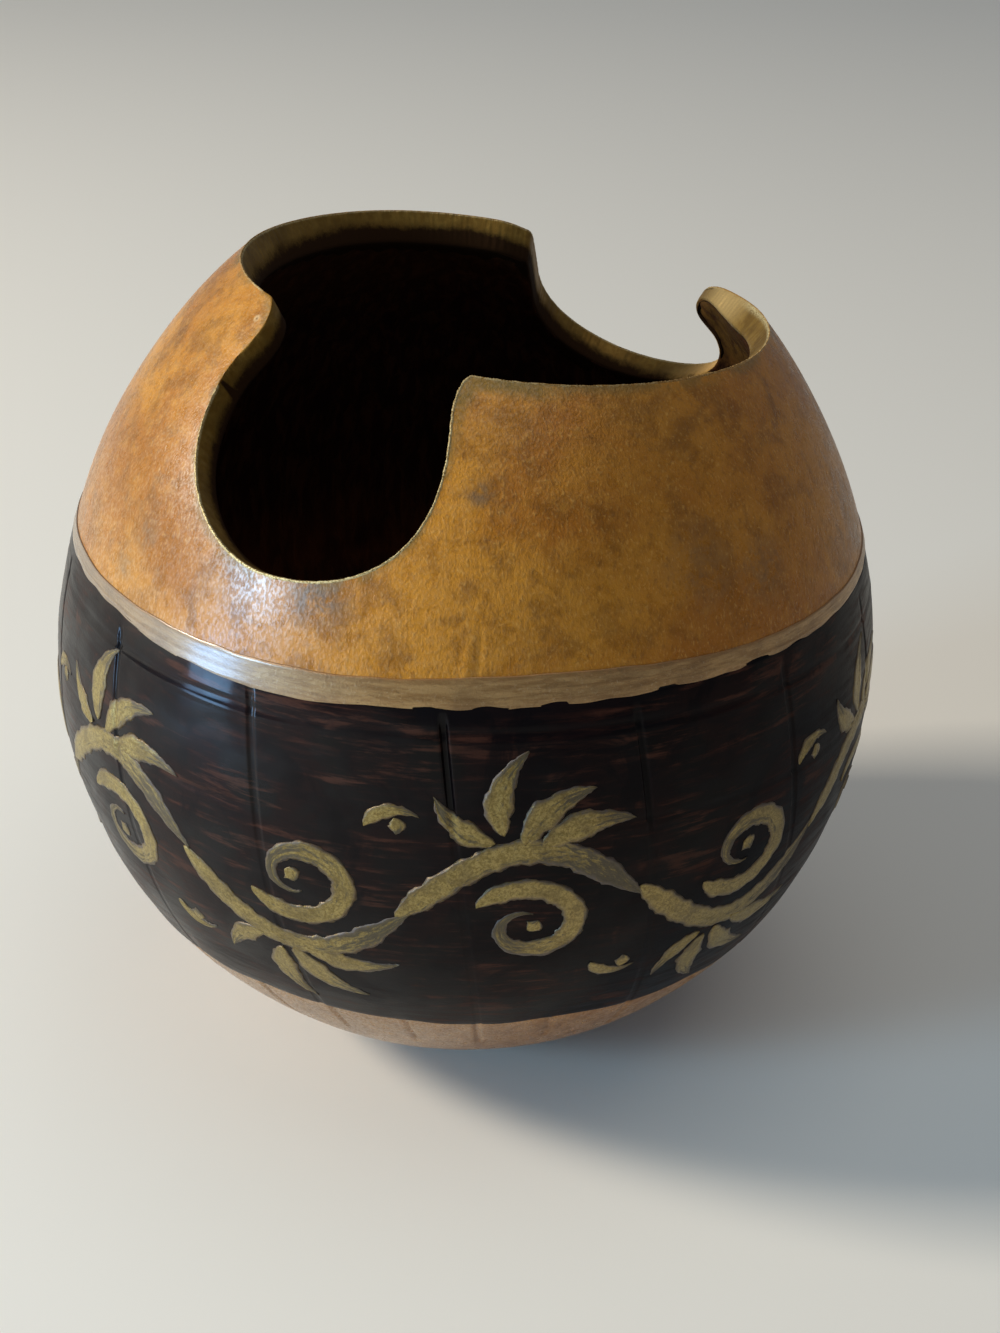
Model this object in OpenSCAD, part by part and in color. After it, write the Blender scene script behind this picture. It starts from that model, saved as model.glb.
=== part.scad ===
// Carved gourd vessel: a dried hard-shell gourd, opened with a free saw cut
// round its crown, with two deep notches that face each other across the mouth.
// Millimetres. +Z is up, the origin is the centre of the flat that it stands on,
// and azimuths are counted in degrees from the front (-Y), rising towards +X.
// Elevations are angles above the belly line, seen from the centre of the belly.

/* [Gourd] */
// Outside diameter at the belly, the widest place
belly_d = 110; // [80:0.5:160]
// Height of the uncut crown above the belly line
crown_h = 68.5; // [50:0.5:90]
// Thickness of the dried wall
wall_t = 3.2; // [2:0.1:5]
// Diameter of the flat sanded under the gourd
base_d = 27; // [16:0.5:36]

/* [Rim] */
// Elevation of the right lobe's edge: at the front notch, half way, at the back notch
right_lobe_el = [57, 53.2, 50.4]; // [45:0.1:65]
// Elevation of the left lobe's edge: at the back notch, half way, at the front notch
left_lobe_el = [54.6, 60.3, 61.5]; // [45:0.1:65]

/* [Front notch] */
// Azimuth of the middle of the front notch
front_mid = -27.6; // [-40:0.1:-20]
// Half of the front notch's width
front_half = 23.9; // [16:0.1:28]
// Elevation of the front notch's floor
front_floor = 32.2; // [28:0.1:42]
// Elevations at which its left and right walls start to curve in
front_knees = [52, 52]; // [45:0.1:54]
// Squareness of its left and right curves, where 2 is an ellipse
front_square = [1.8, 2.4]; // [1.6:0.1:3]
// How far its lip stands out past the left wall, and how far back the lip begins
front_lip = [1.5, 4.6]; // [0:0.1:12]
// Elevation of the lip's point
front_lip_el = 57.4; // [55:0.1:59]
// How far the right corner is laid back, in azimuth and in elevation
front_flare = [3, 3.2]; // [0:0.1:4]

/* [Back notch] */
// Azimuth of the middle of the back notch
back_mid = 147.8; // [140:0.1:155]
// Half of the back notch's width
back_half = 20; // [14:0.1:24]
// Elevation of the back notch's floor
back_floor = 29; // [26:0.1:34]
// Elevations at which its left and right walls start to curve in
back_knees = [39.5, 44]; // [37:0.1:47]
// Squareness of its left and right curves, where 2 is an ellipse
back_square = [2, 2]; // [1.6:0.1:3]
// How far its lip stands out past the left wall, and how far back the lip begins
back_lip = [2.8, 12.5]; // [0:0.1:15]
// Elevation of the lip's point
back_lip_el = 44.3; // [43:0.1:47]
// How far the right corner is laid back, in azimuth and in elevation
back_flare = [0.4, 1.5]; // [0:0.1:4]

/* [Coats] */
// Thickness of each painted or stained coat
coat_t = 0.25; // [0.15:0.05:0.5]
// Elevation of the dark band's lower edge, under the belly line
band_low_el = -31.6; // [-42:0.1:-20]
// Elevation of the dark band's upper edge, where the gold ring starts
band_high_el = 20.3; // [10:0.1:21]
// Width of the gold ring, measured upright
ring_w = 2.9; // [1.5:0.1:5]

/* [Hidden] */
$fn = 180;
belly_r = belly_d / 2;
// Radius of the arc that runs upright from the belly and meets the axis at the crown
crown_r = (crown_h * crown_h + belly_r * belly_r) / belly_d;
// Height of the belly line, so that the sanded flat lies at zero
belly_z = sqrt(belly_r * belly_r - base_d * base_d / 4);
big = 2 * (belly_r + crown_h);
// Heights over the belly centre between which the saw's cone is drawn
saw_low = belly_r * 0.15;
saw_high = crown_h * 1.2;
// Steps of the rim outline: along a lobe, round half a notch, round a lip
lobe_steps = 26;
notch_steps = 14;
lip_steps = 6;

// Sections of the gourd

// Half section of the solid gourd, drawn smaller by inset, with the belly centre at the origin
module half_section(inset) {
    intersection() {
        circle(r = belly_r - inset);
        translate([0, -big]) square([big, big]);
    }
    intersection() {
        translate([belly_r - crown_r, 0]) circle(r = crown_r - inset);
        square([big, big]);
    }
}

// Ring between two insets, spun about the axis and set at its height
module hollow(outer, inner) {
    translate([0, 0, belly_z])
        rotate_extrude()
            difference() {
                half_section(outer);
                half_section(inner);
            }
}

// Height of the skin over the belly line, at an elevation
function skin_z(el) =
    let (c = el < 0 ? 0 : belly_r - crown_r)
    let (r = el < 0 ? belly_r : crown_r)
    (c * cos(el) + sqrt(r * r - pow(c * sin(el), 2))) * sin(el);

// Coat on the outside of the skin, between two heights over the belly line
module skin_coat(low, high) {
    intersection() {
        hollow(-coat_t, 0);
        translate([0, 0, belly_z + low]) cylinder(h = high - low, r = big);
    }
}

// Outline of the saw cut

// Elevation along a lobe, through its three named elevations
function lobe_el(t, el) =
    el[0] * (1 - t) * (1 - 2 * t) + 4 * el[1] * t * (1 - t) + el[2] * t * (2 * t - 1);

// Edge of a lobe between two azimuths, without its ends
function lobe(from, to, el) =
    [for (k = [1 : lobe_steps - 1])
        let (t = k / lobe_steps)
        [from + (to - from) * t, lobe_el(t, el)]];

// Lip at a notch's left side: a quarter round from the lobe's edge to its point,
// then an easy curve back under it to the wall
function lip(wall, knee, reach, tip_el, edge_el) =
    concat(
        [for (k = [0 : lip_steps])
            let (a = 90 * (1 - k / lip_steps))
            [wall + reach[0] - (reach[0] + reach[1]) * (1 - cos(a)),
             tip_el + (edge_el - tip_el) * sin(a)]],
        [for (k = [1 : lip_steps])
            let (t = k / lip_steps)
            [wall + reach[0] * (1 + cos(180 * t)) / 2,
             tip_el + (knee - tip_el) * t]]);

// One side of a notch's floor, from turn a to turn b of a squared ellipse
function curve(mid, half, floor_el, knee, square, a, b) =
    [for (k = [1 : notch_steps])
        let (w = a + (b - a) * k / notch_steps)
        let (u = sign(w) * pow(abs(sin(w)), 2 / square))
        let (v = pow(abs(cos(w)), 2 / square))
        [mid + half * u, knee - (knee - floor_el) * v]];

// A whole notch, from its lip at the left to its corner at the right
function notch(mid, half, floor_el, knees, square, reach, tip_el, flare, edge_el, corner_el) =
    concat(
        lip(mid - half, knees[0], reach, tip_el, edge_el),
        curve(mid, half, floor_el, knees[0], square[0], -90, 0),
        curve(mid, half, floor_el, knees[1], square[1], 0, 90),
        [[mid + half, corner_el - flare[1]],
         [mid + half + flare[0], corner_el]]);

front_corner = front_mid + front_half + front_flare[0];
back_corner = back_mid + back_half + back_flare[0];
front_lip_start = front_mid - front_half - front_lip[1];
back_lip_start = back_mid - back_half - back_lip[1];
rim = concat(
    notch(front_mid, front_half, front_floor, front_knees, front_square,
          front_lip, front_lip_el, front_flare, left_lobe_el[2], right_lobe_el[0]),
    lobe(front_corner, back_lip_start, right_lobe_el),
    notch(back_mid, back_half, back_floor, back_knees, back_square,
          back_lip, back_lip_el, back_flare, right_lobe_el[2], left_lobe_el[0]),
    lobe(back_corner, front_lip_start + 360, left_lobe_el));

// The saw always points at the belly centre, so the cut is a cone over the rim outline.
// Grown by a coat's thickness, it leaves room for the paint on the cut edge.
module saw_cut(grow) {
    translate([0, 0, belly_z + saw_low])
        linear_extrude(height = saw_high - saw_low, scale = saw_high / saw_low)
            offset(delta = grow * saw_low / belly_r)
                polygon([for (p = rim)
                    saw_low / tan(p[1]) * [sin(p[0]), -cos(p[0])]]);
}

// Pieces

// The dried wall of the gourd, sanded flat below and sawn open above
module gourd_shell() {
    color([0.72, 0.42, 0.16])
        difference() {
            hollow(0, wall_t);
            translate([0, 0, -big]) cylinder(h = big, r = big);
            saw_cut(coat_t);
        }
}

// Near-black coat on the whole inside
module inner_coat() {
    color([0.05, 0.03, 0.02])
        difference() {
            hollow(wall_t, wall_t + coat_t);
            saw_cut(coat_t);
        }
}

// Old-gold paint on the cut edge
module rim_gilding() {
    color([0.5, 0.4, 0.18])
        difference() {
            intersection() {
                hollow(0, wall_t + coat_t);
                saw_cut(coat_t);
            }
            saw_cut(0);
        }
}

// Dark glossy stain round the belly
module dark_band() {
    color([0.1, 0.05, 0.04])
        skin_coat(skin_z(band_low_el), skin_z(band_high_el));
}

// Gold ring on the shoulder, over the top edge of the band
module gold_ring() {
    color([0.75, 0.6, 0.4])
        skin_coat(skin_z(band_high_el), skin_z(band_high_el) + ring_w);
}

gourd_shell();
inner_coat();
rim_gilding();
dark_band();
gold_ring();
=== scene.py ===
"""Looks of a carved gourd vessel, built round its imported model. Sizes in millimetres,
angles in degrees: azimuth from the front (-Y) towards +X, elevation from the belly line."""
import math

import bpy
import numpy as np
from mathutils import Matrix, Vector


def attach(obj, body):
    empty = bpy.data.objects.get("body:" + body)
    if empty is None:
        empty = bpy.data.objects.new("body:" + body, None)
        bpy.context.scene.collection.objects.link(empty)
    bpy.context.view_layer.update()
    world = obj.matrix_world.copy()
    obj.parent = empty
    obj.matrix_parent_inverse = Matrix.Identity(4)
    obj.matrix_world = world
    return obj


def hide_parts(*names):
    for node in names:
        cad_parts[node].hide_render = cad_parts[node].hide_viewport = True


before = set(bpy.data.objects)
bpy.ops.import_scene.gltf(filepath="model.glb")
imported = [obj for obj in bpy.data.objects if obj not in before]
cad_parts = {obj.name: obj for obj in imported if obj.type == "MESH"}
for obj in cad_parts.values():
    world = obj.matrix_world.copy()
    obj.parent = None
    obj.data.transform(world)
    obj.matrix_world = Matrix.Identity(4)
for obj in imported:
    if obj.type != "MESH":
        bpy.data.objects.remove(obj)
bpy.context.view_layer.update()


# Photograph's view: a camera a forearm away, looking down on the front of the vessel.
mm = 0.001  # in metres
camera_place = (0.0, -244.74, 182.0)
camera_yaw, camera_pitch, camera_roll = (math.radians(a) for a in (1.14, -28.37, 2.31))
focal_pixels = 2002
photo_height = 1333
film_height = 24.0


def camera_matrix():
    ahead = np.array([math.sin(camera_yaw) * math.cos(camera_pitch),
                      math.cos(camera_yaw) * math.cos(camera_pitch),
                      math.sin(camera_pitch)])
    level = np.array([math.cos(camera_yaw), -math.sin(camera_yaw), 0.0])
    upright = np.cross(level, ahead)
    right = math.cos(camera_roll) * level + math.sin(camera_roll) * upright
    up = math.cos(camera_roll) * upright - math.sin(camera_roll) * level
    matrix = Matrix.Identity(4)
    for row in range(3):
        matrix[row][0] = right[row]
        matrix[row][1] = up[row]
        matrix[row][2] = -ahead[row]
        matrix[row][3] = camera_place[row] * mm
    return matrix


eye = bpy.data.objects.new("eye", bpy.data.cameras.new("eye"))
bpy.context.scene.collection.objects.link(eye)
eye.data.sensor_fit = "VERTICAL"
eye.data.sensor_height = film_height
eye.data.lens = film_height * focal_pixels / photo_height
eye.data.clip_start = 5 * mm
eye.matrix_world = camera_matrix()
bpy.context.scene.camera = eye


# Grown shell: one dried hard-shell gourd, waxed and mottled orange-brown, sanded flat
# below and sawn open above. Its skin has painted shade on its right side and its lower
# left, and its wax sheen is painted stronger on the left. Its belly is a ball, its crown a
# taller arc on the same belly.
belly_r = 55.0
crown_h = 68.5
flat_d = 27.0
wall = 3.3
crown_r = (crown_h ** 2 + belly_r ** 2) / (2 * belly_r)
belly_z = math.sqrt(belly_r ** 2 - flat_d ** 2 / 4)
floor_z = belly_z - belly_r + wall
degree = belly_r * math.pi / 180  # millimetres that a degree spans on the belly


def heading(az, el):
    """Unit vectors from the belly centre."""
    az, el = np.radians(az), np.radians(el)
    return np.stack([np.sin(az) * np.cos(el), -np.cos(az) * np.cos(el), np.sin(el)], -1)


def angles(points):
    """Azimuth and elevation of points given from the flat's centre."""
    x, y, z = points[..., 0], points[..., 1], points[..., 2] - belly_z
    return np.degrees(np.arctan2(x, -y)), np.degrees(np.arctan2(z, np.hypot(x, y)))


def reach(el, depth):
    """Distance from the belly centre to the surface that lies depth under the skin."""
    up = np.radians(np.maximum(el, 0))
    lean = belly_r - crown_r
    arc = lean * np.cos(up) + np.sqrt((crown_r - depth) ** 2 - (lean * np.sin(up)) ** 2)
    return np.where(np.asarray(el) > 0, arc, belly_r - depth)


def ease(low, high, value):
    t = np.clip((value - low) / (high - low), 0, 1)
    return t * t * (3 - 2 * t)


def bump_at(value, middle, width):
    return np.exp(-((value - middle) / width) ** 2)


def turn_from(az, middle):
    """Azimuth counted from a middle, between -180 and 180."""
    return (np.asarray(az) - middle + 180) % 360 - 180


def waver(az, el, waves, seed):
    """Smooth noise of about +-1 on the ball of directions; more waves, finer lumps."""
    draw = np.random.default_rng(seed)
    way = heading(az, el)
    total = 0
    for _ in range(12):
        pull = draw.normal(size=3)
        pull *= waves * draw.uniform(0.6, 1.4) / np.linalg.norm(pull)
        total = total + np.sin(way @ pull + draw.uniform(0, 2 * math.pi))
    return total / 3.2


def swell(az, el):
    """How far the grown skin stands out of the true arcs."""
    lumps = 0.22 * waver(az, el, 4, 11) + 0.10 * waver(az, el, 11, 12)
    lean_side = -0.55 * bump_at(turn_from(az, -100), 0, 32) * bump_at(el, 25, 26)
    return (lumps + lean_side) * ease(-74, -45, el)


def skin(az, el, depth=0.0):
    """Points at a depth under the skin, in millimetres from the flat's centre."""
    out = heading(az, el) * (reach(el, depth) + swell(az, el))[..., None]
    return out + np.array([0, 0, belly_z])


def wall_at(az, el):
    """Thickness of the wall: near the mouth it is thicker at the back and the left back,
    and thinner at the back lip."""
    back = 1.0 * bump_at(turn_from(az, 175), 0, 45)
    left = 1.3 * bump_at(turn_from(az, -105), 0, 38)
    thin_lip = 2.1 * bump_at(turn_from(az, 127), 0, 12)
    return wall + (back + left - thin_lip) * ease(0, 26, el)


def lobe(start, end, edge, steps=500):
    t = np.arange(1, steps) / steps
    el = edge[0] * (1 - t) * (1 - 2 * t) + 4 * edge[1] * t * (1 - t) + edge[2] * t * (2 * t - 1)
    return np.stack([start + (end - start) * t, el], -1)


def lip(side, knee, lip_reach, tip, edge, steps=80):
    a = np.radians(90 * (1 - np.arange(steps + 1) / steps))
    over = np.stack([side + lip_reach[0] - sum(lip_reach) * (1 - np.cos(a)),
                     tip + (edge - tip) * np.sin(a)], -1)
    t = np.arange(1, steps + 1) / steps
    under = np.stack([side + lip_reach[0] * (1 + np.cos(math.pi * t)) / 2,
                      tip + (knee - tip) * t], -1)
    return np.concatenate([over, under])


def notch(middle, half, floor, knees, square, lip_reach, tip, flare, edge, corner, steps=240):
    sides = []
    for knee, power, low in ((knees[0], square[0], -90), (knees[1], square[1], 0)):
        w = np.radians(low + 90 * np.arange(1, steps + 1) / steps)
        across = np.sign(w) * np.abs(np.sin(w)) ** (2 / power)
        down = np.abs(np.cos(w)) ** (2 / power)
        sides.append(np.stack([middle + half * across, knee - (knee - floor) * down], -1))
    rounding = np.array([(0, -1.35), (0.10, -0.95), (0.28, -0.55), (0.6, -0.2), (1, 0)])
    laid_back = np.array([middle + half, corner]) + rounding * flare
    start = lip(middle - half, knees[0], lip_reach, tip, edge)
    return np.concatenate([start, *sides, laid_back])


front_notch = {"middle": -27.6, "half": 23.9, "floor": 32.2, "knees": (52, 52),
               "square": (1.8, 2.4), "lip_reach": (1.5, 4.6), "tip": 57.4, "flare": (3, 3.2)}
back_notch = {"middle": 147.8, "half": 20, "floor": 29, "knees": (39.5, 44),
              "square": (2, 2), "lip_reach": (2.0, 12.5), "tip": 44.3, "flare": (0.4, 1.0)}
right_edge, left_edge = (57, 53.2, 50.4), (54.6, 60.3, 61.5)
corner_wear = 1.6


def notch_ends(cut):
    """Azimuths at which a notch's lip begins and its corner ends."""
    return (cut["middle"] - cut["half"] - cut["lip_reach"][1],
            cut["middle"] + cut["half"] + cut["flare"][0])


def rim_loop(count):
    """Azimuth and elevation of evenly spaced points on the saw cut. Its back corner, at the
    end of the back notch, is worn down."""
    (front_start, front_end), (back_start, back_end) = map(notch_ends, (front_notch, back_notch))
    front = notch(**front_notch, edge=left_edge[2], corner=right_edge[0])
    back = notch(**back_notch, edge=right_edge[2], corner=left_edge[0] - corner_wear)
    left = lobe(back_end, front_start + 360, left_edge)
    left[:, 1] -= corner_wear * bump_at(left[:, 0], back_end - 1.7, 5.0)
    path = np.concatenate([front, lobe(front_end, back_start, right_edge), back, left])
    for samples, blur in ((4000, 3.2), (count, 0)):
        ring = np.concatenate([path, path[:1]])
        gaps = np.linalg.norm(np.diff(heading(*ring.T), axis=0), axis=1)
        along = np.concatenate([[0], np.cumsum(gaps)])
        at = np.linspace(0, along[-1], samples, endpoint=False)
        way = np.stack([np.interp(at, along, axis) for axis in heading(*ring.T).T], -1)
        if blur:
            spots = np.arange(-12, 13)
            weights = np.exp(-(spots / blur) ** 2)
            way = sum(w * np.roll(way, s, 0) for s, w in zip(spots, weights)) / weights.sum()
        az, el = angles(way * belly_r + np.array([0, 0, belly_z]))
        path = np.stack([az, el], -1)
    return path


def chart(az, el):
    """Flat map of the crown, seen from above."""
    return (90 - np.asarray(el))[..., None] * np.stack(
        [np.sin(np.radians(az)), -np.cos(np.radians(az))], -1)


def unchart(flat):
    return (np.degrees(np.arctan2(flat[..., 0], -flat[..., 1])),
            90 - np.hypot(flat[..., 0], flat[..., 1]))


def set_back(rim, gap):
    """Loop moved away from the mouth by a gap, in degrees, which are about millimetres."""
    flat = chart(rim[:, 0], rim[:, 1])
    tangent = np.roll(flat, -1, 0) - np.roll(flat, 1, 0)
    outward = np.stack([tangent[:, 1], -tangent[:, 0]], -1)
    outward /= np.linalg.norm(outward, axis=1, keepdims=True)
    outward *= np.sign((outward * flat).sum())
    return np.stack(unchart(flat + gap * outward), -1)


def relax(grid, turns):
    """Evens out a grid of points between two fixed loops (rows 0 and -1)."""
    for _ in range(turns):
        east, west = np.roll(grid, -1, 1), np.roll(grid, 1, 1)
        along = (east - west)[1:-1] / 2
        rise = (grid[2:] - grid[:-2]) / 2
        a = (rise ** 2).sum(-1, keepdims=True)
        b = (along * rise).sum(-1, keepdims=True)
        c = (along ** 2).sum(-1, keepdims=True)
        cross = (east[2:] - east[:-2] - west[2:] + west[:-2]) / 4
        grid[1:-1] = (a * (east + west)[1:-1] + c * (grid[2:] + grid[:-2])
                      - 2 * b * cross) / (2 * (a + c))
    return grid


columns = 960
crown_rows = 56
collar_el = 18.0
cut_set_back = 0.13


def crown_grid():
    """Rows of azimuth and elevation from the rim down to the collar under the gold ring."""
    rim = set_back(rim_loop(columns), cut_set_back)
    even = rim[0, 0] + 360 * np.arange(columns) / columns
    shift = turn_from(rim[:, 0], even)
    foot = even + shift.mean() + 0.45 * (shift - shift.mean())
    top, low = chart(rim[:, 0], rim[:, 1]), chart(foot, np.full(columns, collar_el))
    grid = None
    for coarse in (8, 4, 2, 1):
        rows = crown_rows // coarse
        if grid is None:
            t = np.linspace(0, 1, rows + 1)[:, None, None]
            fresh = top[::coarse] * (1 - t) + low[::coarse] * t
        else:
            wide = np.stack([grid, (grid + np.roll(grid, -1, 1)) / 2], 2)
            wide = wide.reshape(grid.shape[0], -1, 2)
            fresh = np.empty((rows + 1, wide.shape[1], 2))
            fresh[::2] = wide
            fresh[1::2] = (wide[1:] + wide[:-1]) / 2
            fresh[0], fresh[-1] = top[::coarse], low[::coarse]
        grid = relax(fresh, 400 if coarse > 1 else 200)
    return unchart(grid)


def cast(name, points, faces, notes):
    """Smooth object from points and faces. Notes are values kept on the points, in order."""
    mesh = bpy.data.meshes.new(name)
    mesh.from_pydata((points * mm).tolist(), [], faces)
    mesh.shade_smooth()
    for note, values in notes.items():
        spare = [0.0] * (len(points) - values.size)
        kept = mesh.attributes.new(note, "FLOAT", "POINT")
        kept.data.foreach_set("value", values.ravel().tolist() + spare)
    made = bpy.data.objects.new(name, mesh)
    bpy.context.scene.collection.objects.link(made)
    return made


def solid(name, grid, start=None, end=None, notes=()):
    """Closed mesh from rows of points that run round. Its ends close on the points start
    and end, or else the last row joins the first."""
    rows, cols = grid.shape[:2]
    points = grid.reshape(-1, 3)
    here = np.arange(cols)
    beside = np.roll(here, -1)
    last = rows if start is None else rows - 1
    quads = [np.stack([here + r * cols, beside + r * cols,
                       beside + (r + 1) % rows * cols, here + (r + 1) % rows * cols], -1)
             for r in range(last)]
    faces = np.concatenate(quads).tolist()
    if start is not None:
        points = np.concatenate([points, [start, end]])
        tip, tail = rows * cols, rows * cols + 1
        faces += [[tip, b, a] for a, b in zip(here.tolist(), beside.tolist())]
        low = (rows - 1) * cols
        faces += [[tail, low + a, low + b] for a, b in zip(here.tolist(), beside.tolist())]
    middle = points.mean(0)
    tri = np.array([[points[f[i]] for i in (0, 1, 2)] for f in faces]) - middle
    volume = np.einsum("ij,ij->i", tri[:, 0], np.cross(tri[:, 1], tri[:, 2])).sum()
    if volume < 0:
        faces = [f[::-1] for f in faces]
    return cast(name, points, faces, dict(notes))


class Wire:
    """An output in a material's nodes; arithmetic on it adds Math nodes."""

    def __init__(self, tree, socket=None):
        self.tree = tree
        self.socket = socket

    def node(self, kind, settings=(), sockets=(), out=0):
        """Adds a node: its settings first, then the values or links of its sockets."""
        made = self.tree.nodes.new(kind)
        for name, value in dict(settings).items():
            setattr(made, name, value)
        for key, value in dict(sockets).items():
            if isinstance(value, Wire):
                self.tree.links.new(value.socket, made.inputs[key])
            else:
                made.inputs[key].default_value = value
        return Wire(self.tree, made.outputs[out] if made.outputs else None)

    def math(self, operation, *values):
        return self.node("ShaderNodeMath", {"operation": operation}, enumerate(values))

    def __add__(self, other):
        return self.math("ADD", self, other)

    def __sub__(self, other):
        return self.math("SUBTRACT", self, other)

    def __rsub__(self, other):
        return self.math("SUBTRACT", other, self)

    def __mul__(self, other):
        return self.math("MULTIPLY", self, other)

    def __truediv__(self, other):
        return self.math("DIVIDE", self, other)

    def __abs__(self):
        return self.math("ABSOLUTE", self)

    __radd__ = __add__
    __rmul__ = __mul__

    def step(self, low, high):
        """Smooth step from 0 at low to 1 at high, or down where low is the higher."""
        return self.node("ShaderNodeMapRange", {"interpolation_type": "SMOOTHSTEP"},
                         {"Value": self, "From Min": low, "From Max": high})


def paint(red, green, blue):
    """Colour, 0 to 255, as the linear numbers that a shader takes."""
    return (*(((v / 255 + 0.055) / 1.055) ** 2.4 if v > 10 else v / 255 / 12.92
              for v in (red, green, blue)), 1.0)


def finish(name):
    """New material: its tree as a Wire, and the place in millimetres."""
    material = bpy.data.materials.new(name)
    material.use_nodes = True
    material.node_tree.nodes.clear()
    tree = Wire(material.node_tree)
    place = tree.node("ShaderNodeTexCoord", out=3)
    place = tree.node("ShaderNodeVectorMath", {"operation": "SCALE"},
                      {"Vector": place, "Scale": 1 / mm})
    return material, tree, place


def cloud(tree, place, scale, detail=2.0, rough=0.5, twist=0.0):
    """Soft noise from 0 to 1, scale lumps to the millimetre."""
    return tree.node("ShaderNodeTexNoise", (), {"Vector": place, "Scale": scale, "Detail": detail,
                                               "Roughness": rough, "Distortion": twist})


def tint(tree, under, over, share):
    return tree.node("ShaderNodeMix", {"data_type": "RGBA"}, {0: share, 6: under, 7: over}, out=2)


def note(tree, name):
    """Value kept on the mesh's points."""
    return tree.node("ShaderNodeAttribute", {"attribute_name": name}, out=2)


def axis(tree, place, number):
    return tree.node("ShaderNodeSeparateXYZ", (), {0: place}, out=number)


def squeeze(tree, place, x, y, z):
    return tree.node("ShaderNodeVectorMath", {"operation": "MULTIPLY"}, {0: place, 1: (x, y, z)})


def relief(tree, height, strength, distance):
    """Fine relief; height in shares of distance, which is in metres."""
    return tree.node("ShaderNodeBump", (), {"Height": height, "Strength": strength,
                                            "Distance": distance})


def coat(material, tree, fixed, **linked):
    """Principled shader with its fixed numbers and its linked inputs, on the output."""
    shader = tree.node("ShaderNodeBsdfPrincipled", (), {**fixed, **{
        name.replace("_", " "): value for name, value in linked.items()}})
    tree.node("ShaderNodeOutputMaterial", (), {"Surface": shader})
    return material


def spot(tree, place, az, el, size, share=1.0):
    """Mask that falls from a share to 0 about a place on the skin."""
    at = skin(np.array(az), np.array(el))
    gap = tree.node("ShaderNodeVectorMath", {"operation": "DISTANCE"},
                    {0: place, 1: tuple(float(v) for v in at)}, out=1)
    return (gap / size).step(1.0, 0.15) * share


def gourd_skin():
    material, tree, place = finish("waxed_gourd_skin_and_painted_shade")
    from_cut = note(tree, "from_cut")
    x, z = axis(tree, place, 0), axis(tree, place, 2)
    broad = cloud(tree, place, 0.05, 3, 0.55, 0.5)
    patch = cloud(tree, place, 0.2, 5, 0.62, 0.5)
    mottle = cloud(tree, place, 0.5, 5, 0.68, 0.3)
    fibre = squeeze(tree, place, 1.0, 1.0, 0.5)
    grain = cloud(tree, fibre, 1.5, 4, 0.65)
    flecks = cloud(tree, fibre, 3.2, 2, 0.5)
    golden = tint(tree, paint(174, 106, 26), paint(206, 138, 42), broad.step(0.36, 0.62))
    brown = tint(tree, golden, paint(128, 80, 20), patch.step(0.45, 0.66) * 0.55)
    blotch = cloud(tree, place, 0.11, 3, 0.7, 1.0)
    brown = tint(tree, brown, paint(116, 76, 30), blotch.step(0.54, 0.66) * 0.38)
    brown = tint(tree, brown, paint(212, 146, 50), mottle.step(0.5, 0.66) * 0.42)
    brown = tint(tree, brown, paint(142, 86, 20), mottle.step(0.48, 0.34) * 0.35)
    # Painted shade: the skin darkens towards its right side.
    brown = tint(tree, brown, paint(122, 72, 6), x.step(-24.0, 44.0) * 0.42)
    # Painted shade: the left of the skin, below the top of the shoulder, is darkened.
    left_painted_shade = x.step(-6.0, -34.0) * z.step(98.0, 84.0)
    brown = tint(tree, brown, paint(132, 82, 30), left_painted_shade * 0.28)
    brown = tint(tree, brown, paint(110, 68, 18), grain.step(0.54, 0.68) * 0.35)
    brown = tint(tree, brown, paint(226, 170, 80), flecks.step(0.58, 0.72) * 0.3)
    stains = (spot(tree, place, 1.5, 43.9, 2.2) + spot(tree, place, -20.0, 31.3, 5.4, 1.2)
              + spot(tree, place, -51, 31, 3.5, 0.6) + spot(tree, place, -54, 26, 3.0, 0.6)
              + spot(tree, place, 34, 33.5, 8.0, 0.5) + spot(tree, place, 45, 31, 6.0, 0.6))
    stains = stains * mottle.step(0.34, 0.6)
    brown = tint(tree, brown, paint(96, 80, 62), stains * 0.7)
    smear = (from_cut + mottle * 1.6).step(2.6, 0.9) * patch.step(0.4, 0.56)
    brown = tint(tree, brown, paint(128, 104, 50), smear * 0.55)
    wash = spot(tree, place, 4.0, 56.0, 11.0) * (from_cut + mottle * 2.0).step(4.0, 2.2)
    brown = tint(tree, brown, paint(116, 92, 32), wash * 0.8)
    brown = tint(tree, brown, paint(232, 196, 140), spot(tree, place, -53.8, 58.6, 0.7) * 0.8)
    brown = tint(tree, brown, paint(130, 88, 44), spot(tree, place, -53.7, 58.55, 0.34) * 0.9)
    bare = z.step(27.5, 22.0)
    tan = tint(tree, paint(160, 118, 74), paint(132, 90, 48), mottle.step(0.4, 0.62))
    colour = tint(tree, brown, tan, bare)
    worn = tint(tree, paint(205, 170, 128), paint(176, 136, 92), mottle.step(0.4, 0.6))
    colour = tint(tree, colour, worn, z.step(0.5, 0.12))
    height = mottle * 0.4 + grain * 0.35 + flecks * 0.25
    normal = relief(tree, height, 0.6, 0.0005)
    shine = 0.24 + 0.14 * mottle.step(0.35, 0.65) + 0.10 * grain.step(0.4, 0.7)
    # Wax with granular flecks; its sheen is painted stronger on the left side and weaker on the
    # right.
    wax_and_painted_sheen = (0.1 + 0.3 * mottle.step(0.3, 0.6) + 0.6 * flecks.step(0.44, 0.6)) * (
        0.15 + 0.85 * x.step(18.0, -16.0))
    return coat(material, tree, {"Specular IOR Level": 0.22, "Coat Roughness": 0.31,
                                 "Coat IOR": 1.9},
                Base_Color=colour, Roughness=shine, Normal=normal, Coat_Weight=wax_and_painted_sheen)


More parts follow.
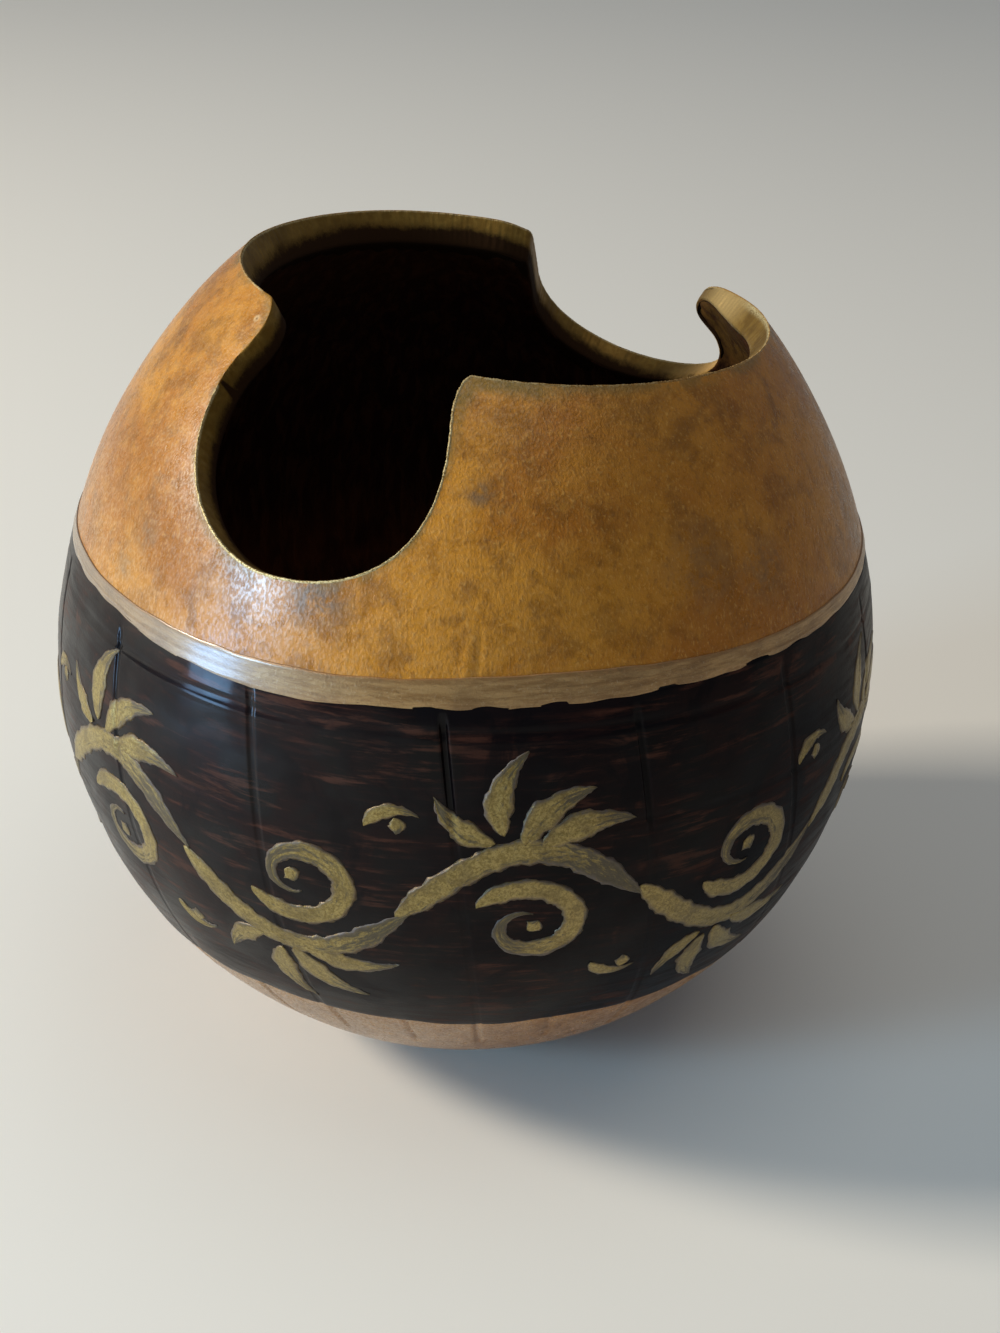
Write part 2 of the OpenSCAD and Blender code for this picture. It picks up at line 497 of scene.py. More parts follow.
crown_az, crown_el = crown_grid()
groove_count = 15
groove_pitch = 360 / groove_count
groove_slant = -0.1225


def groove_az(number, el):
    """Azimuth of a scored upright line, which leans a little, by hand."""
    wander = np.random.default_rng(40 + number).uniform(-0.7, 0.7)
    return -0.5 + groove_pitch * number + wander + groove_slant * np.asarray(el)


def tick_depth(az, el):
    """Short cuts in the bare skin under the band, at and between the scored lines."""
    deep = 0
    for number in range(2 * groove_count):
        draw = np.random.default_rng(90 + number)
        middle = groove_az(number // 2, el) + groove_pitch / 2 * (number % 2)
        middle = middle + draw.uniform(-1.5, 1.5)
        low = draw.uniform(-46, -41)
        across = turn_from(az, middle) * np.cos(np.radians(el)) * degree
        deep = deep + 0.35 * bump_at(across, 0, 0.35) * ease(low, low + 3, el)
    return deep * ease(-28, -30, el)


def nib(az, el):
    """Height of the small wart beside the front lip and of the crease under the mouth."""
    across = turn_from(az, -53.8) * np.cos(np.radians(el))
    wart = 0.35 * bump_at(across, 0, 0.6) * bump_at(el, 58.6, 0.6)
    crease = turn_from(az, 1.6 + 0.12 * (el - 26)) * np.cos(np.radians(el))
    fold = -0.12 * bump_at(crease, 0, 0.5) + 0.10 * bump_at(crease, -1.1, 0.7)
    return wart + fold * bump_at(el, 25.5, 3.2)


def shell_rows():
    """Rows of the shell from the flat's middle up the skin, over the cut and down inside,
    with each point's distance from the cut."""
    under_band, behind_coat = 0.6, 0.2
    close_to_rim = 0.94
    far = np.full(columns, 99.0)
    foot_az = crown_az[-1]
    rim_az, rim_el = crown_az[0], crown_el[0]
    flat_el = -math.degrees(math.asin(belly_z / belly_r))
    rows = []
    for radius in (4.0, 9.0, flat_d / 2 - 0.6, flat_d / 2 - 0.25):
        turn = np.radians(foot_az)
        rows.append(np.stack([radius * np.sin(turn), -radius * np.cos(turn),
                              np.zeros(columns)], -1))
    rows.append(skin(foot_az, np.full(columns, flat_el + 0.25)))
    bare_el, hidden_el = np.arange(flat_el + 0.6, -28, 0.7), np.arange(-28, collar_el, 2.6)
    for el in np.concatenate([bare_el, hidden_el]):
        ring_el = np.full(columns, el)
        sunk = under_band * ease(-29.5, -28, el) + tick_depth(foot_az, ring_el)
        rows.append(skin(foot_az, ring_el, sunk))
    from_cut = [far] * len(rows)
    rim = skin(rim_az, rim_el)
    for az, el in zip(crown_az[::-1], crown_el[::-1]):
        if np.array_equal(az, rim_az):
            rows.append((1 - close_to_rim) * rows[-1] + close_to_rim * rim)
            from_cut.append(np.zeros(columns))
        rows.append(skin(az, el, under_band * ease(21.2, 20.2, el))
                    + nib(az, el)[..., None] * heading(az, el))
        from_cut.append(np.linalg.norm(rows[-1] - rim, axis=1))
    for share in (0.1, 0.5, 0.9):
        rows.append(skin(rim_az, rim_el, share * wall_at(rim_az, rim_el)))
    for az, el in zip(crown_az[::4], crown_el[::4]):
        rows.append(skin(az, el, wall_at(az, el) - behind_coat))
    for el in np.arange(collar_el - 6, -88, -6.0):
        rows.append(skin(foot_az, np.full(columns, el), wall_at(foot_az, el) - behind_coat))
    from_cut += [far] * (len(rows) - len(from_cut))
    return np.stack(rows), np.stack(from_cut)


shell_grid, from_cut = shell_rows()
shell = solid("gourd_shell_skin", shell_grid, (0, 0, 0), (0, 0, floor_z),
              {"from_cut": from_cut})
shell.data.materials.append(gourd_skin())
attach(shell, "root")
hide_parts("gourd_shell")


# Inner coat: a near-black stain brushed over the scraped inside, worn to a warm brown
# in the bottom, where the scraper's marks still show.
coat_t = 0.25
coat_sunk = 0.3


def inside_black():
    material, tree, place = finish("inside_black_stain")
    z = axis(tree, place, 2)
    fibre = cloud(tree, squeeze(tree, place, 0.5, 0.5, 0.12), 1.2, 4, 0.6, 0.5)
    patch = cloud(tree, place, 0.09, 3, 0.6, 0.4)
    colour = tint(tree, paint(46, 24, 14), paint(78, 42, 22), fibre.step(0.4, 0.7))
    low = z.step(62.0, 30.0) * patch.step(0.4, 0.6)
    colour = tint(tree, colour, paint(126, 62, 26), low * 0.5)
    colour = tint(tree, colour, paint(110, 68, 26), z.step(86.0, 98.0) * 0.15)
    gilt_mist = spot(tree, place, 122, 42, 14.0) * fibre.step(0.3, 0.6)
    colour = tint(tree, colour, paint(96, 72, 26), gilt_mist * 0.6)
    normal = relief(tree, fibre * 0.7 + patch * 0.3, 0.7, 0.0006)
    return coat(material, tree, {"Specular IOR Level": 0.08}, Base_Color=colour,
                Roughness=0.75 + 0.15 * fibre, Normal=normal)


def inside_rows():
    """Rows from the middle of the floor, under the coat, up to the rim and back on top."""
    az, el = crown_az[::2, ::2], crown_el[::2, ::2]
    down = np.arange(collar_el - 5, -88, -5.0)
    scrape = 0.12 * waver(az, el, 40, 61)
    hidden, shown = [], []
    for row_az, row_el, marks in zip(az, el, scrape):
        deep = wall_at(row_az, row_el)
        hidden.append(skin(row_az, row_el, deep - coat_sunk))
        shown.append(skin(row_az, row_el, deep + coat_t + marks * ease(60, 40, row_el)))
    for ring_el in down:
        row_el = np.full(az.shape[1], ring_el)
        deep = wall_at(az[-1], row_el)
        marks = 0.12 * waver(az[-1], row_el, 40, 61) * ease(-86, -70, ring_el)
        hidden.append(skin(az[-1], row_el, deep - coat_sunk))
        shown.append(skin(az[-1], row_el, deep + coat_t + marks))
    return np.stack(hidden[::-1] + shown)


lining = solid("inside_coat", inside_rows(), (0, 0, floor_z + 0.2), (0, 0, floor_z + 0.8))
lining.data.materials.append(inside_black())
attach(lining, "root")
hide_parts("inner_coat")


# Rim gilding: old-gold paint on the sawn edge. It laps a little over the skin outside,
# fades over the edge inside, and shows the teeth marks of the fine saw. Painted light lies
# on it too: a glint along its outer edge, a brighter hook, a bright pool in the back notch
# and a painted shade line at a kerf on the front notch's left wall.
gilt_columns = 2600
gilt_film = 0.07


def gilt_rows():
    rim = rim_loop(gilt_columns)
    edge = skin(rim[:, 0], rim[:, 1])
    outward = heading(rim[:, 0], rim[:, 1])
    tangent = np.roll(edge, -1, 0) - np.roll(edge, 1, 0)
    tangent /= np.linalg.norm(tangent, axis=1, keepdims=True)
    into_skin = np.cross(outward, tangent)
    into_skin /= np.linalg.norm(into_skin, axis=1, keepdims=True)
    inner_side = skin(rim[:, 0], rim[:, 1] - 3.0) - edge
    if (into_skin * inner_side).sum() < 0:
        into_skin = -into_skin
    deep = wall_at(*rim.T)
    length = np.linalg.norm(np.roll(edge, -1, 0) - edge, axis=1)
    along = np.cumsum(length)
    draw = np.random.default_rng(7)

    def ripple(low, high, size):
        """Closed noise round the rim, of wavelengths between low and high."""
        total = 0
        for _ in range(14):
            turns = round(along[-1] / draw.uniform(low, high))
            total = total + np.sin(2 * math.pi * turns * along / along[-1]
                                   + draw.uniform(0, 2 * math.pi))
        return size * total / 3.5

    teeth = np.minimum(np.abs(ripple(0.45, 0.8, 0.12)), 0.2)
    front = bump_at(turn_from(rim[:, 0], -27), 0, 27)
    lap = 0.14 + 0.07 * front + np.abs(ripple(1.5, 7, 0.04)) + np.abs(ripple(0.4, 0.9, 0.03))
    left_wall = bump_at(turn_from(rim[:, 0], -52), 0, 6)
    # Painted shade: a dark line across the front notch's left wall at a kerf; the wall above it is
    # darker too.
    darker_above_kerf = left_wall * ease(50.5, 52, rim[:, 1])
    kerf_painted_shade = left_wall * bump_at(rim[:, 1], 50.6, 0.32)
    noses = bump_at(turn_from(rim[:, 0], 126), 0, 9) + bump_at(turn_from(rim[:, 0], -50), 0, 5)
    fade = (2.4 + ripple(3, 12, 0.5)) * (1 - 0.65 * np.minimum(noses, 1))
    saw = [ripple(0.7, 1.5, 0.018) for _ in range(3)]
    top = [(lap + 0.08, 0.03), (lap, -0.02), (lap * 0.65, -gilt_film),
           (0.03 + teeth * 0.3, -gilt_film - 0.01), (-0.02 + teeth * 0.6, -0.05),
           (-0.08 + teeth, 0.04), (-0.09 + teeth * 0.7, 0.16),
           (-gilt_film + teeth * 0.2 + saw[0] * 0.5, 0.38)]
    for share in (0.22, 0.36, 0.5, 0.64, 0.78):
        marks = saw[0] * (1 - share) + saw[1] * share + 0.4 * saw[2]
        top.append((-gilt_film + marks, share * deep))
    top += [(-gilt_film + saw[1] * 0.7, deep - 0.25), (-0.02, deep + 0.12),
            (0.12, deep + coat_t + 0.02), (0.5, deep + coat_t + gilt_film),
            (fade * 0.4, deep + coat_t + gilt_film), (fade * 0.7, deep + coat_t + gilt_film * 0.6),
            (fade * 0.9, deep + coat_t + gilt_film * 0.25), (fade, deep + coat_t - 0.015)]
    under = [(fade, deep + 0.05), (fade * 0.4, deep - 0.05), (0.35, deep - 0.4), (0.35, 0.45),
             (lap + 0.05, 0.2)]
    rows, inward_and_kerf_shade, lapped = [], [], []
    kept_gold = 1 - 0.8 * bump_at(turn_from(rim[:, 0], 112), 0, 36)
    kept_gold = kept_gold + 0.45 * bump_at(turn_from(rim[:, 0], -170), 0, 48)
    gilded = 0.15 + 0.85 * front + np.abs(ripple(2, 8, 0.2))
    for sideways, depth in top + under:
        sideways = np.broadcast_to(sideways, along.shape)
        depth = np.broadcast_to(depth, along.shape)
        az, el = angles(edge + sideways[:, None] * into_skin)
        rows.append(skin(az, el, depth))
        inside = ease(deep * 0.9, deep, depth)
        # How far the paint reaches over the edge inward, with the kerf's painted shade added.
        inward_and_kerf_shade.append(np.clip(depth / deep, 0, 1) * kept_gold
                      + np.maximum(sideways, 0) / fade * inside
                      + 0.22 * darker_above_kerf + 0.9 * kerf_painted_shade)
        lapped.append(ease(0.14, 0.02, depth) * np.clip(1 - gilded, 0, 1))
    return np.stack(rows), {"inward_and_kerf_shade": np.stack(inward_and_kerf_shade), "lapped": np.stack(lapped)}


def old_gold():
    material, tree, place = finish("old_gold_paint_and_painted_light")
    inward_and_kerf_shade = note(tree, "inward_and_kerf_shade")
    lapped = note(tree, "lapped")
    brush = cloud(tree, place, 0.9, 4, 0.6, 0.3)
    patch = cloud(tree, place, 0.12, 3, 0.6)
    fine = cloud(tree, place, 5.0, 2, 0.6)
    gold = tint(tree, paint(124, 92, 38), paint(142, 110, 50), brush.step(0.35, 0.7))
    gold = tint(tree, gold, paint(84, 60, 24), patch.step(0.45, 0.65) * 0.5)
    # Painted light: the hook's cut face is painted brighter gold.
    hook_painted_light = spot(tree, place, 115, 50, 9.0)
    gold = tint(tree, gold, paint(188, 158, 104), hook_painted_light * 0.75)
    # Painted light: a bright pool painted on the cut face of the back notch.
    gold = tint(tree, gold, paint(230, 184, 110), spot(tree, place, 126, 31, 17.0) * 0.85)
    # Painted highlight: a bright glint along the outer edge of the cut, left off the hook.
    painted_edge_glint = inward_and_kerf_shade.step(0.1, 0.0) * fine.step(0.3, 0.6) * (1 - hook_painted_light)
    gold = tint(tree, gold, paint(232, 212, 158), painted_edge_glint * 0.9)
    ragged = (brush - 0.5) * 0.5 + (patch - 0.5) * 0.5 + (fine - 0.5) * 0.2
    thin = (inward_and_kerf_shade + ragged).step(0.42, 0.9)
    colour = tint(tree, gold, paint(44, 26, 9), thin)
    colour = tint(tree, colour, paint(140, 92, 30), lapped * 0.95)
    normal = relief(tree, brush * 0.5 + fine * 0.5, 0.25, 0.00025)
    return coat(material, tree, {"Specular IOR Level": 0.08},
                Base_Color=colour, Metallic=0.35 * (1 - thin) * (1 - lapped),
                Roughness=0.4 + 0.45 * thin + 0.08 * fine, Normal=normal)


gilt_grid, gilt_notes = gilt_rows()
gilding = solid("rim_gold_edge", gilt_grid, notes=gilt_notes)
gilding.data.materials.append(old_gold())
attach(gilding, "root")
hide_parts("rim_gilding")


# Dark band: near-black brown stain under gloss varnish round the belly, brushed round the
# vessel. Thin lines are scored through it: upright ones that lean a little, two level ones.
band_low, band_high = -31.9, 21.0
level_lines = ((16.6, 0.16), (4.0, 0.12))  # elevation and depth


def groove_cut(az, el):
    """Depth of the scored lines. Each is deepest near the shoulder and fades downwards."""
    deep = 0
    for number in range(groove_count):
        draw = np.random.default_rng(140 + number)
        across = turn_from(az, groove_az(number, el)) * np.cos(np.radians(el)) * degree
        force = draw.uniform(0.08, 0.22)
        force = 0.08 + force * ease(draw.uniform(-12, 2), draw.uniform(4, 9), el)
        force = force + (number == 0) * 0.16 * ease(1, 6, el)
        force = force * (0.85 + 0.15 * waver(az, el, 14, 150 + number))
        deep = deep + force * np.exp(-(across / 0.46) ** 4) * ease(19.5, 17.8, el)
    for middle, depth in level_lines:
        off = (el - middle - 0.7 * waver(az, el * 0, 3, 33)) * degree
        broken = ease(-0.5, 0.2, waver(az, el * 0, 5, 35))
        deep = deep + depth * (bump_at(off, 0, 0.26) - 0.3 * bump_at(off, -0.45, 0.2)) * broken
    return deep


def band_depth(az, el):
    return -0.10 + groove_cut(az, el) - 0.035 * waver(az, el, 48, 36)


def band_grid():
    """Columns lean as the scored lines do and crowd round each of them."""
    fine = np.arange(-0.9, 0.91, 0.12)
    between = np.linspace(1.35, groove_pitch - 1.35, 38) / groove_pitch
    lines = sorted(float(groove_az(n, 0.0)) for n in range(groove_count))
    spots = []
    for here, after in zip(lines, lines[1:] + [lines[0] + 360]):
        spots += list(here + fine)
        spots += list(here + between * (after - here))
    spots = np.array(spots)
    low = band_low + 0.45 * waver(spots, spots * 0, 9, 37) + 0.25 * waver(spots, spots * 0, 30, 38)
    rows = [skin(spots + groove_slant * low, low, 0.4)]
    depth_row = [np.zeros(len(spots))]
    for share in np.linspace(0, 1, 97):
        el = low + (band_high - low) * share
        az = spots + groove_slant * el
        lip_down = 0.12 * (1 - ease(0, 0.008, share))
        rows.append(skin(az, el, band_depth(az, el) + lip_down))
        depth_row.append(groove_cut(az, el))
    for share in np.linspace(1, 0, 9):
        el = low + (band_high - low) * share
        rows.append(skin(spots + groove_slant * el, el, 0.7))
        depth_row.append(np.zeros(len(spots)))
    return np.stack(rows), np.stack(depth_row)


def band_stain():
    material, tree, place = finish("dark_stain_under_varnish_and_painted_sheen")
    cut = note(tree, "cut")
    flow = squeeze(tree, place, 0.14, 0.14, 1.3)
    streak = cloud(tree, flow, 0.9, 5, 0.68, 0.3)
    wide_streak = cloud(tree, squeeze(tree, place, 0.07, 0.07, 0.32), 0.7, 3, 0.6, 0.5)
    patch = cloud(tree, place, 0.13, 3, 0.55, 0.3)
    fine = cloud(tree, place, 2.4, 3, 0.6)
    smear = cloud(tree, place, 0.09, 4, 0.6, 1.4)
    dark = tint(tree, paint(27, 15, 14), paint(11, 7, 7), patch.step(0.42, 0.6))
    colour = tint(tree, dark, paint(72, 38, 27), streak.step(0.48, 0.68) * 0.4)
    colour = tint(tree, colour, paint(88, 54, 40), (streak * wide_streak).step(0.28, 0.38) * 0.35)
    colour = tint(tree, colour, paint(15, 10, 12), wide_streak.step(0.5, 0.4) * 0.6)
    colour = tint(tree, colour, paint(12, 8, 10), smear.step(0.46, 0.58) * 0.8)
    colour = tint(tree, colour, paint(9, 6, 7), cut.step(0.08, 0.3) * 0.85)
    normal = relief(tree, streak * 0.55 + fine * 0.45, 0.25, 0.0002)
    # Painted sheen: the varnish coat is weaker towards the right side, so the band reflects less
    # there.
    left = axis(tree, place, 0).step(14.0, -24.0)
    varnish_and_painted_sheen = (0.24 + 0.16 * patch.step(0.4, 0.65)) * (0.3 + 0.7 * left)
    return coat(material, tree, {"Specular IOR Level": 0.03, "Coat Roughness": 0.1},
                Base_Color=colour, Roughness=0.35 + 0.2 * streak.step(0.4, 0.7),
                Normal=normal, Coat_Weight=varnish_and_painted_sheen)


band_points, band_cut = band_grid()
band = solid("dark_band_coat", band_points, notes={"cut": band_cut})
band.data.materials.append(band_stain())
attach(band, "root")
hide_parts("dark_band")


# Gold ring: one brushed line of champagne-gold metallic paint round the shoulder, laid by
# hand over the top edge of the band, so both its edges wander.
ring_columns = 1100


def ring_edges(az):
    """Heights of its lower and upper edges over the belly line."""
    lower = 19.4 - 1.4 * bump_at(turn_from(az, -31), 0, 17) + 0.22 * waver(az, az * 0, 7, 51)
    upper = 21.4 + 1.5 * bump_at(turn_from(az, 15), 0, 28) + 0.18 * waver(az, az * 0, 7, 52)
    rough = 0.07 * waver(az, az * 0, 60, 53)
    return lower + rough, upper + 0.06 * waver(az, az * 0, 50, 54)


def ring_point(az, height, depth):
    """Points at a height over the belly line and a depth under the skin."""
    out = belly_r - crown_r + np.sqrt(crown_r ** 2 - height ** 2)
    return skin(az, np.degrees(np.arctan2(height, out)), depth)


def ring_rows():
    az = 360 * np.arange(ring_columns) / ring_columns
    lower, upper = ring_edges(az)
    shares = np.concatenate([[0, 0.015, 0.05], np.linspace(0.1, 0.9, 13), [0.95, 0.985, 1]])
    draw = np.random.default_rng(58)
    rows, brushed = [], []
    for share in shares:
        height = lower + (upper - lower) * share
        body = 0.13 * min(1, share / 0.05, (1 - share) / 0.05) ** 0.5
        bristle = draw.normal() * 0.022 + 0.018 * waver(az, az * 0, 9, 60 + len(rows))
        rows.append(ring_point(az, height, -0.03 - body - bristle * (body > 0.05)))
        brushed.append(np.full(ring_columns, share))
    for share in (0.97, 0.5, 0.03):
        rows.append(ring_point(az, lower + (upper - lower) * share, 0.35))
        brushed.append(np.full(ring_columns, share))
    return np.stack(rows), np.stack(brushed)


def champagne_gold():
    material, tree, place = finish("champagne_gold_paint_and_painted_highlight")
    across = note(tree, "across")
    flow = squeeze(tree, place, 0.2, 0.2, 1.5)
    bristle = cloud(tree, flow, 1.2, 4, 0.7, 0.2)
    patch = cloud(tree, place, 0.16, 3, 0.6)
    flake = cloud(tree, place, 2.6, 4, 0.75)
    gold = tint(tree, paint(148, 108, 58), paint(180, 140, 86), bristle.step(0.36, 0.64))
    gold = tint(tree, gold, paint(108, 76, 38), patch.step(0.48, 0.68) * 0.45)
    gold = tint(tree, gold, paint(202, 178, 142), flake.step(0.55, 0.7) * 0.35)
    gold = tint(tree, gold, paint(106, 78, 46), flake.step(0.46, 0.32) * 0.35)
    thin = (across + (flake - 0.5) * 0.7 + (bristle - 0.5) * 0.3).step(0.8, 1.08)
    gold = tint(tree, gold, paint(150, 100, 48), thin * 0.75)
    # Painted highlight: the ring's left part is tinted grey for the bluish glint there, and its
    # coat sheen is painted stronger on the left.
    left = axis(tree, place, 0).step(-6.0, -30.0)
    gold = tint(tree, gold, paint(112, 106, 98), left * 0.45)
    normal = relief(tree, bristle * 0.4 + flake * 0.6, 0.45, 0.00025)
    return coat(material, tree, {"Specular IOR Level": 0.5, "Coat Roughness": 0.22,
                                 "Coat IOR": 1.8},
                Base_Color=gold, Metallic=0.35 + 0.2 * flake, Roughness=0.34 + 0.12 * patch,
                Normal=normal, Coat_Weight=(0.65 + 0.35 * flake) * (0.3 + 0.7 * left))


ring_points, across_ring = ring_rows()
ring = solid("shoulder_gold_ring", ring_points, notes={"across": across_ring})
ring.data.materials.append(champagne_gold())
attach(ring, "root")
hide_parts("gold_ring")


# Brush ornament: a plain running scroll with curls, crescent leaves and dabs, laid on the
# band in olive gold with a round brush. Strokes are 2 to 4 mm wide and taper off.
cells = 12
cell_width = 2 * math.pi * belly_r / cells
scroll_start, scroll_middle = 9.0, -6.5
# Each leaf's root, the angle at which it sets off, its length, its turning and its width
leaves = (((-3.2, 10.6), 112, 12.0, -78, 3.4), ((-1.2, 10.0), 66, 12.0, -66, 3.4),
          ((1.2, 9.4), 30, 12.2, -52, 3.2), ((-4.6, 9.4), 168, 9.4, -58, 2.8))
lane_count = 11
hand = np.random.default_rng(5)


def stroke(path, width, start_taper, end_taper):
    """Closed rows of one brush stroke along a path of (x, y) on the unrolled band."""
    path = np.asarray(path, float)
    gaps = np.linalg.norm(np.diff(path, axis=0), axis=1)
    along = np.concatenate([[0], np.cumsum(gaps)])
    count = max(10, int(along[-1] / 0.4))
    at = np.linspace(0, along[-1], count)
    x, y = (np.interp(at, along, axis) for axis in path.T)
    t = at / along[-1]
    swell_in = np.clip(t / start_taper, 0, 1) ** 0.55
    swell_out = np.clip((1 - t) / end_taper, 0, 1) ** 0.8
    half = width * 0.57 * np.minimum(swell_in, swell_out) * (
        1 + 0.06 * np.sin(at * 1.7 + hand.uniform(0, 6))) + 0.04
    az, el = x / degree, y / degree
    centre = skin(az, el)
    tangent = np.gradient(centre, axis=0)
    tangent /= np.linalg.norm(tangent, axis=1, keepdims=True)
    side = np.cross(heading(az, el), tangent)
    lanes = np.linspace(-1, 1, lane_count)
    bristles = hand.normal(size=(lane_count, 4))
    ragged = hand.normal(size=(2, count)) * 0.055
    rows, load, lane_note, run = [], [], [], []
    dryness = ease(0.35, 1.0, t)
    for number, lane in enumerate(lanes):
        edge_wander = 0.05 * np.sin(at * 2.9 + number * 0.7 + bristles[number, 2])
        rag = ragged[int(lane > 0)] * max(0, abs(lane) - 0.6) * 2.5
        points = centre + side * (half * lane + edge_wander * half + rag)[:, None]
        lane_az, lane_el = angles(points)
        body = 0.115 * (1 - abs(lane) ** 6) * (1 - 0.35 * dryness) + 0.01
        ridge = 0.022 * bristles[number, 0] + 0.014 * np.sin(at * 0.9 + bristles[number, 1] * 3)
        depth = band_depth(lane_az, lane_el) - body - ridge * (abs(lane) < 0.95)
        rows.append(skin(lane_az, lane_el, depth))
        load.append(np.clip(1 - dryness + 0.25 * bristles[number, 3], 0, 1) * np.ones(count))
        lane_note.append(np.full(count, lane))
        run.append(at + 40.0 * bristles[0, 0])
    for lane in (0.8, 0.0, -0.8):
        lane_az, lane_el = angles(centre + side * (half * lane)[:, None])
        rows.append(skin(lane_az, lane_el, band_depth(lane_az, lane_el) + 0.08))
        load.append(np.ones(count))
        lane_note.append(np.full(count, lane))
        run.append(at)
    return [np.stack(a, 1) for a in (rows, load, lane_note, run)]


def bend(start, angle, length, turning, steps=40):
    """Path that sets off at an angle and turns evenly by turning degrees."""
    way = np.radians(angle + turning * np.arange(steps) / steps)
    hops = length / steps * np.stack([np.cos(way), np.sin(way)], -1)
    return np.concatenate([[start], np.asarray(start) + np.cumsum(hops, 0)])


def scroll_strokes():
    """Every stroke of the scroll, cell by cell: stem, curl and its seed, four leaves, tendril
    and dab. Each second cell hangs upside down."""
    strokes = []
    for cell in range(cells):
        middle = cell * cell_width + hand.normal() * 0.5 + scroll_start
        up = 1 if cell % 2 == 0 else -1

        def place(path, jitter=0.3):
            path = np.asarray(path) * (1, up) + (middle, scroll_middle)
            return path + hand.normal(size=2) * jitter

        swing = 8.6
        x = np.linspace(-cell_width * 0.54, cell_width * 0.50, 60)
        stem = np.stack([x, swing * np.cos(math.pi * x / cell_width) + 0.02 * x], -1)
        strokes.append(stroke(place(stem), 3.0, 0.12, 0.2))
        curl_turn = np.linspace(0, 1, 90)
        angle = np.radians(150 - 430 * curl_turn)
        radius = 7.4 * (1 - 0.70 * curl_turn)
        curl = np.stack([0.6 + radius * np.cos(angle), -2.6 + radius * np.sin(angle) * 0.86], -1)
        strokes.append(stroke(place(curl), 2.5, 0.1, 0.35))
        seed = place(bend((-0.4, -3.4), angle=20, length=2.0, turning=60), jitter=0.2)
        strokes.append(stroke(seed, 2.2, 0.5, 0.5))
        for root, angle, length, turning, width in leaves:
            leaf = bend(root, angle + hand.normal() * 4, length * hand.uniform(0.92, 1.06),
                        turning)
            strokes.append(stroke(place(leaf), width * hand.uniform(0.9, 1.08), 0.35, 0.6))
        tendril = place(bend((8.8, -10.4), angle=-62, length=7.5, turning=96))
        strokes.append(stroke(tendril, 1.7, 0.3, 0.6))
        dab = place(bend((12.4, -12.2), angle=58, length=2.2, turning=50))
        strokes.append(stroke(dab, 1.9, 0.5, 0.5))
    return strokes


def olive_gold():
    material, tree, place = finish("olive_gold_brushwork")
    load = note(tree, "load")
    lane = note(tree, "lane")
    run = note(tree, "run")
    track = tree.node("ShaderNodeCombineXYZ", (), {0: lane * 2.2, 1: run * 0.32})
    dry = cloud(tree, track, 2.0, 4, 0.7)
    pigment = cloud(tree, place, 2.6, 4, 0.75)
    patch = cloud(tree, place, 0.3, 3, 0.6)
    edge = abs(lane).step(0.55, 0.95)
    grit = cloud(tree, place, 3.6, 4, 0.8)
    gold = tint(tree, paint(126, 104, 50), paint(168, 144, 84), pigment.step(0.38, 0.62))
    gold = tint(tree, gold, paint(98, 80, 44), patch.step(0.48, 0.66) * 0.5)
    gold = tint(tree, gold, paint(58, 46, 28), grit.step(0.55, 0.66) * 0.6)
    thin = (1 - load + (dry - 0.5) * 3.0 + (pigment - 0.5) * 1.4).step(0.3, 0.9)
    colour = tint(tree, gold, paint(56, 45, 30), thin * 0.85)
    colour = tint(tree, colour, paint(92, 78, 70), edge * pigment.step(0.3, 0.55) * 0.85)
    normal = relief(tree, pigment * 0.6 + dry * 0.4, 0.45, 0.00025)
    return coat(material, tree, {"Specular IOR Level": 0.5}, Base_Color=colour,
                Metallic=0.45 * (1 - thin), Roughness=0.36 + 0.16 * thin, Normal=normal)


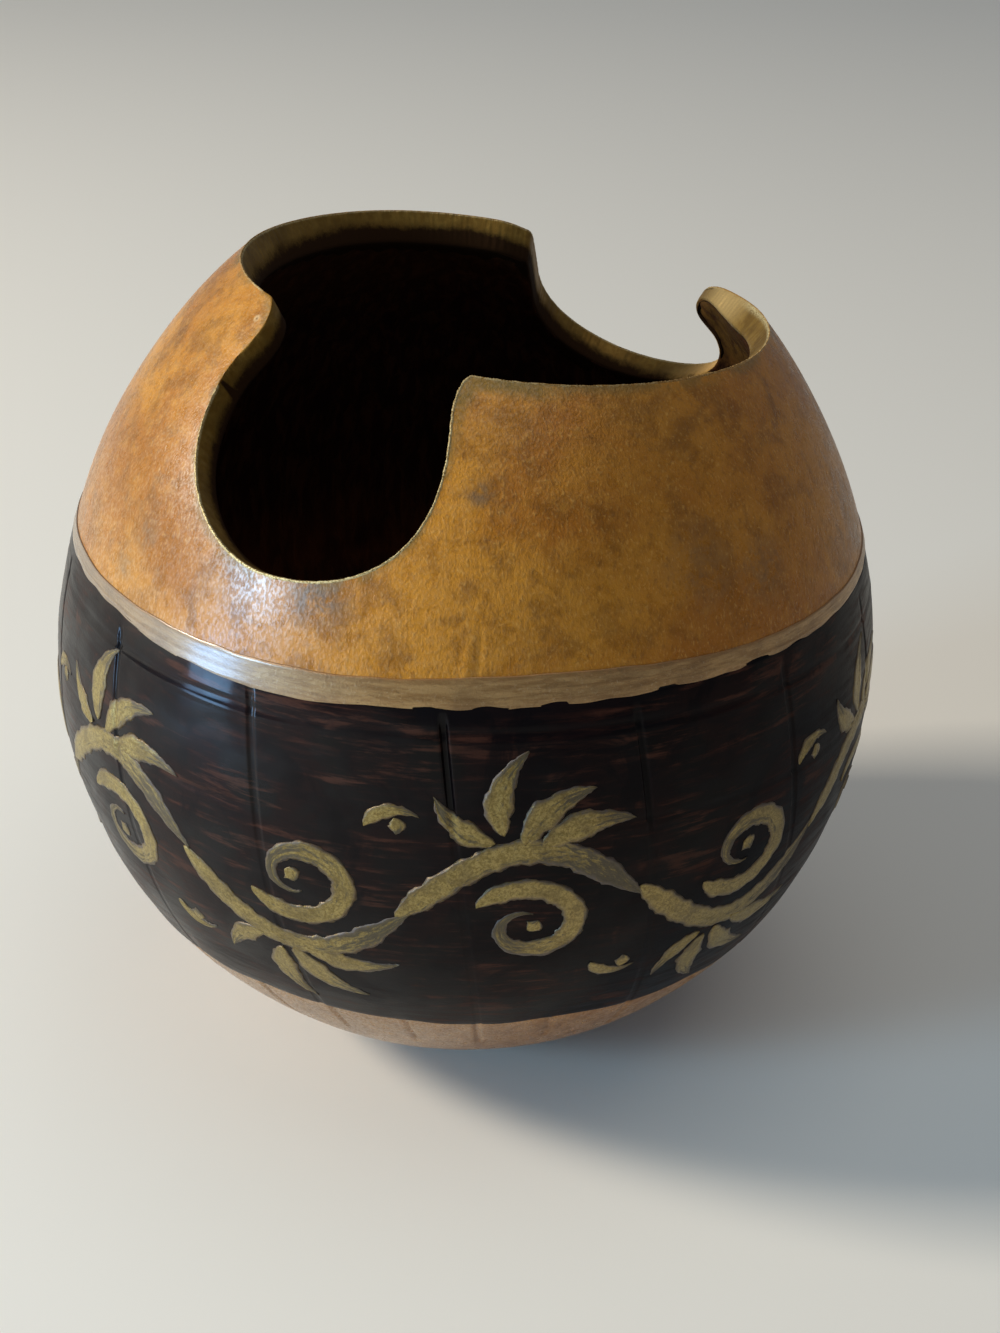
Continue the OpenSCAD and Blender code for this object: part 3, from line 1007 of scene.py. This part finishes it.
def join_strokes(name, strokes):
    """All strokes as one mesh of closed tapered solids."""
    points, faces, load, lane, run = [], [], [], [], []
    base = 0
    for grid, loads, lanes, runs in strokes:
        rows, cols = grid.shape[:2]
        here = np.arange(cols)
        beside = np.roll(here, -1)
        for r in range(rows - 1):
            faces += np.stack([base + here + r * cols, base + here + (r + 1) * cols,
                               base + beside + (r + 1) * cols, base + beside + r * cols],
                              -1).tolist()
        faces.append((base + here).tolist())
        faces.append((base + here[::-1] + (rows - 1) * cols).tolist())
        points.append(grid.reshape(-1, 3))
        load.append(loads.ravel())
        lane.append(lanes.ravel())
        run.append(runs.ravel())
        base += rows * cols
    notes = {"load": load, "lane": lane, "run": run}
    return cast(name, np.concatenate(points), faces,
                {note: np.concatenate(values) for note, values in notes.items()})


scroll = join_strokes("gold_scroll_strokes", scroll_strokes())
scroll.data.materials.append(olive_gold())
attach(scroll, "root")


# Floor and light: a plain pale table top, under a low warm lamp and a cool window-like one
# at the left, a small one at the window's foot, and a wide soft one overhead.
def floor_finish():
    material, tree, _ = finish("pale_floor")
    return coat(material, tree, {"Base Color": paint(240, 235, 224), "Roughness": 0.7,
                                 "Specular IOR Level": 0.2})


floor_mesh = bpy.data.meshes.new("floor")
floor_mesh.from_pydata([(-3, -3, 0), (3, -3, 0), (3, 3, 0), (-3, 3, 0)], [], [(0, 1, 2, 3)])
floor_mesh.materials.append(floor_finish())
floor = bpy.data.objects.new("floor", floor_mesh)
bpy.context.scene.collection.objects.link(floor)


def lamp(name, place, size, power, colour):
    """Area lamp turned to the middle of the vessel. Places and sizes in metres."""
    light = bpy.data.lights.new(name, "AREA")
    light.shape = "RECTANGLE"
    light.size, light.size_y = size
    light.energy = power
    light.color = colour
    made = bpy.data.objects.new(name, light)
    made.location = place
    aim = Vector((0, 0, 0.05)) - made.location
    made.rotation_euler = aim.to_track_quat("-Z", "Y").to_euler()
    made.visible_camera = False
    bpy.context.scene.collection.objects.link(made)


lamp("low_sun", place=(-0.95, -0.05, 0.62), size=(0.22, 0.22), power=10.6,
     colour=(1.0, 0.92, 0.80))
lamp("window", place=(-0.83, -0.46, 0.33), size=(0.20, 0.17), power=4.0,
     colour=(0.40, 0.70, 1.0))
lamp("window_foot", place=(-0.28, -0.13, 0.04), size=(0.08, 0.05), power=0.2,
     colour=(0.30, 0.58, 1.0))
lamp("ceiling", place=(0.2, -0.1, 1.3), size=(1.0, 1.0), power=2.9,
     colour=(1.0, 0.93, 0.82))
world = bpy.data.worlds.new("room")
world.use_nodes = True
sky = world.node_tree.nodes["Background"]
sky.inputs["Color"].default_value = (0.66, 0.80, 1.0, 1)
sky.inputs["Strength"].default_value = 0.21
bpy.context.scene.world = world
bpy.context.scene.view_settings.view_transform = "Standard"
